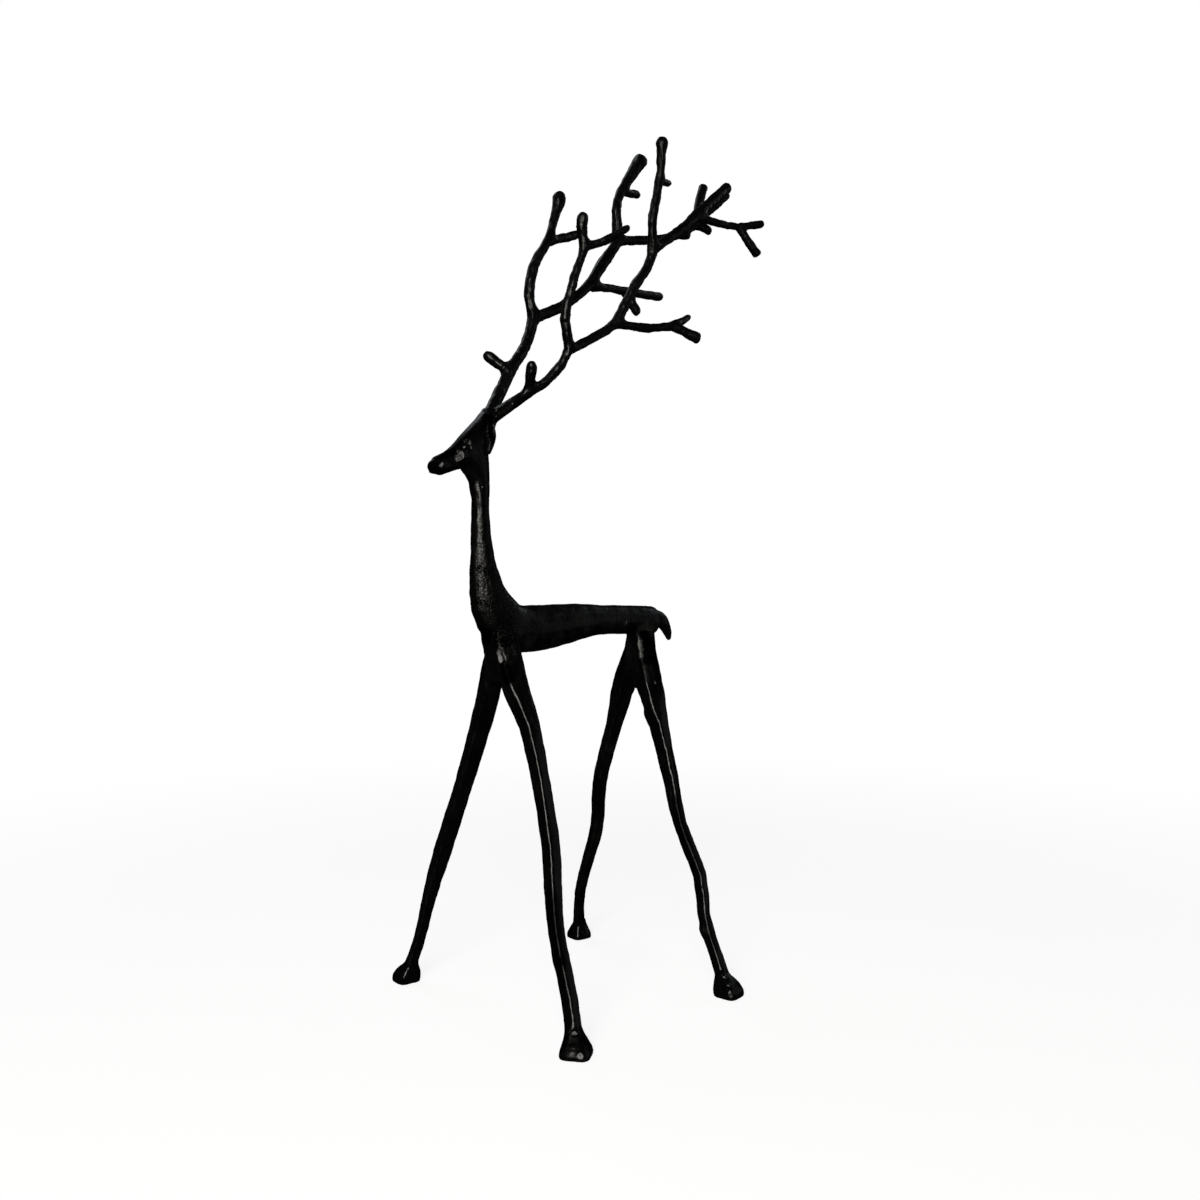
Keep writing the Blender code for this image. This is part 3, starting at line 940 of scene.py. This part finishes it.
class Nodes:
    """Short way to lay out a shader tree."""

    MIX_INPUTS = (0, 6, 7)
    MIX_OUTPUT = 2

    def __init__(self, tree: NodeTree) -> None:
        """Keep the tree that the nodes go into."""
        self.tree = tree

    def add(
        self, kind: str, links: dict[str | int, Feed] | None = None, **settings: str | bool
    ) -> Node:
        """Add a node.

        Args:
            kind: Blender's name for the node type, without its prefix.
            links: Input name or number to a socket, or to a plain value.
            settings: Properties set on the node itself.

        Returns:
            The new node.
        """
        node = self.tree.nodes.new("ShaderNode" + kind)
        for name, value in settings.items():
            setattr(node, name, value)
        for key, value in (links or {}).items():
            self.feed(node.inputs[key], value)
        return node

    def feed(self, socket: NodeSocket, value: Feed) -> None:
        """Link a socket's output to an input, or give the input a plain value.

        Args:
            socket: The input.
            value: The output that feeds it, or its value.
        """
        if isinstance(value, NodeSocket):
            self.tree.links.new(value, socket)
        else:
            socket.default_value = value

    def math(self, operation: str, first: Feed, second: Feed, clamp: bool = False) -> NodeSocket:
        """Return the output of a math node."""
        links = {0: first, 1: second}
        return self.add("Math", links, operation=operation, use_clamp=clamp).outputs[0]

    def ramp(self, factor: Feed, stops: Stops) -> NodeSocket:
        """Lay out a smooth grey ramp.

        Args:
            factor: What the ramp reads.
            stops: Each stop's position and grey.

        Returns:
            The ramp's output.
        """
        node = self.add("ValToRGB", {0: factor})
        node.color_ramp.interpolation = "EASE"
        for element, (position, grey) in zip(node.color_ramp.elements, stops):
            element.position = position
            element.color = (grey, grey, grey, 1.0)
        return node.outputs[0]

    def noise(self, place: Feed, scale: float, detail: float) -> NodeSocket:
        """Return soft noise at a place."""
        links = {"Vector": place, "Scale": scale, "Detail": detail}
        return self.add("TexNoise", links).outputs["Fac"]

    def blend(self, factor: Feed, first: Feed, second: Feed) -> NodeSocket:
        """Mix two colours.

        Args:
            factor: Share of the second colour.
            first: A socket, or a plain red, green and blue.
            second: As the first.

        Returns:
            The mixed colour.
        """
        node = self.add("Mix", data_type="RGBA")
        for number, value in zip(self.MIX_INPUTS, (factor, first, second)):
            plain = not isinstance(value, NodeSocket)
            self.feed(node.inputs[number], (*value, 1.0) if plain else value)
        return node.outputs[self.MIX_OUTPUT]

    def attribute(self, name: str) -> NodeSocket:
        """Return the casting's own value of that name."""
        return self.add("Attribute", attribute_name=name).outputs["Fac"]


@dataclass(frozen=True)
class SandGrain:
    """Shader group: the height of the skin that a sand mould leaves on metal."""

    name: str = "sand grain"
    grit: float = 640.0
    grit_detail: float = 1.5
    lumps: float = 270.0
    lump_detail: float = 2.0
    lump_share: float = 0.6
    pits: float = 384.0
    pit_stops: Stops = ((0.0, 1.0), (0.3, 0.0))
    pit_share: float = 0.5
    patches: float = 90.0
    patch_detail: float = 1.0
    patch_stops: Stops = ((0.42, 0.0), (0.62, 1.0))

    def build(self) -> ShaderNodeTree:
        """Make the group, with Place and Coarseness in and Height out.

        Returns:
            The group.
        """
        group = bpy.data.node_groups.new(self.name, "ShaderNodeTree")
        sockets = group.interface
        sockets.new_socket("Place", in_out="INPUT", socket_type="NodeSocketVector")
        sockets.new_socket("Coarseness", in_out="INPUT", socket_type="NodeSocketFloat")
        sockets.new_socket("Height", in_out="OUTPUT", socket_type="NodeSocketFloat")
        entry = group.nodes.new("NodeGroupInput")
        leave = group.nodes.new("NodeGroupOutput")
        nodes = Nodes(group)
        place = entry.outputs["Place"]
        grit = nodes.noise(place, self.grit, self.grit_detail)
        lumps = nodes.noise(place, self.lumps, self.lump_detail)
        cells = nodes.add("TexVoronoi", {"Vector": place, "Scale": self.pits})
        pits = nodes.ramp(cells.outputs["Distance"], self.pit_stops)
        allow = nodes.noise(place, self.patches, self.patch_detail)
        allow = nodes.ramp(allow, self.patch_stops)
        pits = nodes.math("MULTIPLY", pits, allow)
        height = nodes.math("ADD", nodes.math("MULTIPLY", lumps, self.lump_share), grit)
        height = nodes.math("SUBTRACT", height, nodes.math("MULTIPLY", pits, self.pit_share))
        height = nodes.math("MULTIPLY", height, entry.outputs["Coarseness"])
        group.links.new(height, leave.inputs["Height"])
        return group


@dataclass(frozen=True)
class BlackCastFinish:
    """Black finish over cast metal: glossy on the scraped limbs, sooty on the body, with painted
    shade in patches.
    """

    name: str = "black cast metal"
    lacquer: Colour = (0.0009, 0.0009, 0.001)
    charcoal: Colour = (0.018, 0.0178, 0.0206)
    umber: Colour = (0.0225, 0.0192, 0.0166)
    rubbed: Colour = (0.03, 0.028, 0.026)
    specular: float = 0.5
    grain_depth: float = 0.00026
    cloud_scale: float = 95.0
    cloud_detail: float = 4.0
    cloud_stops: Stops = ((0.3, 0.0), (0.72, 1.0))
    streak_stops: Stops = ((0.2, 0.2), (0.8, 1.0))
    limb_soot: float = 0.3
    body_soot: float = 0.7
    speck_scale: float = 1050.0
    speck_detail: float = 2.0
    speck_stops: Stops = ((0.38, 1.0), (0.6, 0.0))
    speck_share: float = 0.75
    tint_scale: float = 160.0
    tint_detail: float = 2.0
    tint_stops: Stops = ((0.4, 0.0), (0.6, 1.0))
    worn_stops: Stops = ((0.35, 0.0), (1.0, 1.0))
    worn_share: float = 0.3
    gloss: float = 0.14
    soot_roughness: float = 0.22
    grain_roughness: float = 0.08
    dull_roughness: float = 0.6
    shade_and_speck_roughness: float = 0.2
    hollow_roughness: float = 0.1

    def build(self, grain: ShaderNodeTree) -> Material:
        """Make the material.

        Args:
            grain: The sand grain group.

        Returns:
            The material.
        """
        material = bpy.data.materials.new(self.name)
        material.use_nodes = True
        tree = material.node_tree
        shader = tree.nodes["Principled BSDF"]
        shader.inputs["Specular IOR Level"].default_value = self.specular
        nodes = Nodes(tree)
        place = nodes.add("TexCoord").outputs["Object"]
        coarse = nodes.attribute("coarse")
        grains = nodes.add("Group")
        grains.node_tree = grain
        nodes.feed(grains.inputs["Place"], place)
        nodes.feed(grains.inputs["Coarseness"], coarse)
        soot = self.soot(nodes, place)
        # Painted shade: metallic black takes both the highlights and the diffuse light off the
        # listed patches; grain specks darken too.
        painted_shade_and_specks = self.painted_shade_and_specks(nodes, place, coarse)
        nodes.feed(shader.inputs["Base Color"], self.colour(nodes, place, soot, painted_shade_and_specks))
        nodes.feed(shader.inputs["Metallic"], painted_shade_and_specks)
        nodes.feed(shader.inputs["Roughness"], self.roughness(nodes, soot, coarse, painted_shade_and_specks))
        relief = {"Strength": 1.0, "Distance": self.grain_depth, "Height": grains.outputs["Height"]}
        nodes.feed(shader.inputs["Normal"], nodes.add("Bump", relief).outputs["Normal"])
        return material

    def soot(self, nodes: Nodes, place: Feed) -> NodeSocket:
        """Lay out where the finish is dull: clouds and brush streaks on the body.

        Args:
            nodes: The material's nodes.
            place: Object coordinates.

        Returns:
            A share from 0 to 1.
        """
        clouds = nodes.noise(place, self.cloud_scale, self.cloud_detail)
        clouds = nodes.ramp(clouds, self.cloud_stops)
        streaks = nodes.ramp(nodes.attribute("stroke"), self.streak_stops)
        # The trunk share also carries the far hind leg's painted sheen.
        body = nodes.math("MULTIPLY", nodes.attribute("trunk"), self.body_soot)
        share = nodes.math("ADD", body, self.limb_soot)
        return nodes.math("MULTIPLY", nodes.math("MULTIPLY", clouds, streaks), share)

    def painted_shade_and_specks(self, nodes: Nodes, place: Feed, coarse: Feed) -> NodeSocket:
        """Lay out the painted shade patches, which take highlights off, and add dark specks of the
        grain.

        Args:
            nodes: The material's nodes.
            place: Object coordinates.
            coarse: How coarse the grain is.

        Returns:
            A share from 0 to 1.
        """
        specks = nodes.noise(place, self.speck_scale, self.speck_detail)
        specks = nodes.ramp(specks, self.speck_stops)
        specks = nodes.math("MULTIPLY", specks, nodes.math("MULTIPLY", coarse, self.speck_share))
        return nodes.math("ADD", nodes.attribute("painted_shade_and_specks"), specks, clamp=True)

    def colour(self, nodes: Nodes, place: Feed, soot: Feed, painted_shade_and_specks: Feed) -> NodeSocket:
        """Lay out the colour: black, sooty in patches, rubbed grey on the ridges, black where shade
        is painted.

        Args:
            nodes: The material's nodes.
            place: Object coordinates.
            soot: Where the finish is sooty.
            painted_shade_and_specks: Where shade is painted black, with the grain's dark specks.

        Returns:
            The colour.
        """
        tint = nodes.noise(place, self.tint_scale, self.tint_detail)
        tint = nodes.ramp(tint, self.tint_stops)
        dull = nodes.blend(tint, self.charcoal, self.umber)
        base = nodes.blend(soot, self.lacquer, dull)
        worn = nodes.ramp(nodes.attribute("ridge"), self.worn_stops)
        base = nodes.blend(nodes.math("MULTIPLY", worn, self.worn_share), base, self.rubbed)
        return nodes.blend(painted_shade_and_specks, base, self.lacquer)

    def roughness(self, nodes: Nodes, soot: Feed, coarse: Feed, painted_shade_and_specks: Feed) -> NodeSocket:
        """Lay out the roughness: glossy limbs, duller body and hollows, matt where shade is
        painted.

        Args:
            nodes: The material's nodes.
            soot: Where the finish is sooty.
            coarse: How coarse the grain is.
            painted_shade_and_specks: Where shade is painted black, with the grain's dark specks.

        Returns:
            The roughness.
        """
        rough = nodes.math("ADD", self.gloss, nodes.math("MULTIPLY", soot, self.soot_roughness))
        for cause, amount in (
            (coarse, self.grain_roughness),
            (nodes.attribute("dull"), self.dull_roughness),
            (painted_shade_and_specks, self.shade_and_speck_roughness),
            (nodes.attribute("hollow"), self.hollow_roughness),
        ):
            rough = nodes.math("ADD", rough, nodes.math("MULTIPLY", cause, amount))
        return rough


@dataclass(frozen=True)
class SoftLight:
    """One rectangular studio light, aimed at the figure."""

    name: str
    azimuth: float
    height: float
    distance: float
    width: float
    tall: float
    power: float
    tint: Colour = (1.0, 1.0, 1.0)
    aim: float = 0.25

    def build(self) -> None:
        """Hang the light."""
        lamp = bpy.data.lights.new(self.name, "AREA")
        lamp.shape = "RECTANGLE"
        lamp.size = self.width
        lamp.size_y = self.tall
        lamp.energy = self.power
        lamp.color = self.tint
        made = bpy.data.objects.new(self.name, lamp)
        bpy.context.scene.collection.objects.link(made)
        turn = math.radians(self.azimuth)
        place = Vector((math.sin(turn), -math.cos(turn), 0.0)) * self.distance
        place.z = self.height
        made.location = place
        towards = Vector((0.0, 0.0, self.aim)) - place
        made.rotation_euler = towards.to_track_quat("-Z", "Y").to_euler()
        log.info("light: %s", self.name)


@dataclass(frozen=True)
class PaleFloor:
    """Pale matt floor under the figure, which turns into the white room further out."""

    name: str = "studio_floor"
    size: float = 60.0
    grey: float = 0.55
    roughness: float = 0.9
    specular: float = 0.1
    glow: float = 0.85
    fade: tuple[float, float] = (0.25, 1.0)

    def build(self) -> None:
        """Lay the floor."""
        shape = bmesh.new()
        bmesh.ops.create_grid(shape, x_segments=1, y_segments=1, size=self.size / 2)
        mesh = bpy.data.meshes.new(self.name)
        shape.to_mesh(mesh)
        shape.free()
        floor = bpy.data.objects.new(self.name, mesh)
        bpy.context.scene.collection.objects.link(floor)
        mesh.materials.append(self.finish())
        floor.visible_glossy = False
        floor.visible_diffuse = False
        log.info("%s: laid", self.name)

    def finish(self) -> Material:
        """Make the floor's material.

        Returns:
            The material.
        """
        material = bpy.data.materials.new("pale floor")
        material.use_nodes = True
        tree = material.node_tree
        shader = tree.nodes["Principled BSDF"]
        shader.inputs["Base Color"].default_value = (self.grey, self.grey, self.grey, 1.0)
        shader.inputs["Roughness"].default_value = self.roughness
        shader.inputs["Specular IOR Level"].default_value = self.specular
        shader.inputs["Emission Color"].default_value = WHITE
        shader.inputs["Emission Strength"].default_value = self.glow
        nodes = Nodes(tree)
        place = nodes.add("TexCoord").outputs["Object"]
        away = nodes.add("VectorMath", {0: place}, operation="LENGTH").outputs["Value"]
        start, end = self.fade
        span = {"Value": away, "From Min": start, "From Max": end}
        far = nodes.add("MapRange", span, interpolation_type="SMOOTHSTEP").outputs[0]
        white = nodes.add("Emission", {"Color": WHITE, "Strength": 1.0}).outputs[0]
        mixed = nodes.add("MixShader", {0: far, 1: shader.outputs[0], 2: white})
        nodes.feed(tree.nodes["Material Output"].inputs["Surface"], mixed.outputs[0])
        return material


@dataclass
class Studio:
    """Pale floor, soft lights, the room and the camera."""

    floor: PaleFloor = PaleFloor()
    room_tint: Colour = (0.9, 0.95, 1.0)
    room_strength: float = 0.01
    lens: float = 32.39
    sensor: float = 36.0
    clip: tuple[float, float] = (0.01, 100.0)
    camera_place: Place = (478.8, -408.5, 224.3)
    camera_turn: float = 47.98
    lights: tuple[SoftLight, ...] = (
        SoftLight("front window", 39.0, 0.56, 1.5, 0.7, 1.0, 12.6, (1.0, 0.97, 0.9)),
        SoftLight("right side fill", 142.0, 0.35, 2.0, 1.5, 1.1, 0.5),
        SoftLight("high right window", 150.0, 1.35, 1.9, 0.8, 0.6, 0.3, (0.86, 0.94, 1.0)),
        SoftLight("high left window", -87.0, 1.75, 1.45, 1.1, 1.1, 3.4, (0.86, 0.94, 1.0)),
        SoftLight("back light", 184.0, 1.3, 1.7, 0.8, 0.7, 0.8, (0.9, 0.95, 1.0)),
    )

    def build(self) -> None:
        """Set up the studio."""
        self.floor.build()
        for light in self.lights:
            light.build()
        self.light_room()
        self.place_camera()

    def light_room(self) -> None:
        """Set the room: pale as a backdrop, dim as a source of light."""
        world = bpy.data.worlds.new("studio room")
        bpy.context.scene.world = world
        world.use_nodes = True
        nodes = Nodes(world.node_tree)
        world.node_tree.nodes.clear()
        path = nodes.add("LightPath")
        dim = {"Color": (*self.room_tint, 1.0), "Strength": self.room_strength}
        dim = nodes.add("Background", dim).outputs[0]
        pale = nodes.add("Background", {"Color": WHITE, "Strength": 1.0}).outputs[0]
        seen = path.outputs["Is Camera Ray"]
        mixed = nodes.add("MixShader", {0: seen, 1: dim, 2: pale}).outputs[0]
        nodes.add("OutputWorld", {"Surface": mixed})

    def place_camera(self) -> None:
        """Stand the camera level, looking at the figure's left front quarter."""
        camera = bpy.data.cameras.new("camera")
        camera.lens = self.lens
        camera.sensor_width = self.sensor
        camera.clip_start, camera.clip_end = self.clip
        made = bpy.data.objects.new("camera", camera)
        bpy.context.scene.collection.objects.link(made)
        made.location = placed(*self.camera_place)
        made.rotation_euler = (math.radians(90.0), 0.0, math.radians(self.camera_turn))
        bpy.context.scene.camera = made
        bpy.context.scene.view_settings.view_transform = "Standard"


def main() -> None:
    """Build the figure and the studio in order."""
    logging.basicConfig(level=logging.INFO, format="%(name)s: %(message)s")
    grain = SandGrain().build()
    finish = BlackCastFinish().build(grain)
    reindeer = Reindeer()
    casting = reindeer.build()
    reindeer.dress(casting, finish)
    Studio().build()


if __name__ == "__main__":
    main()
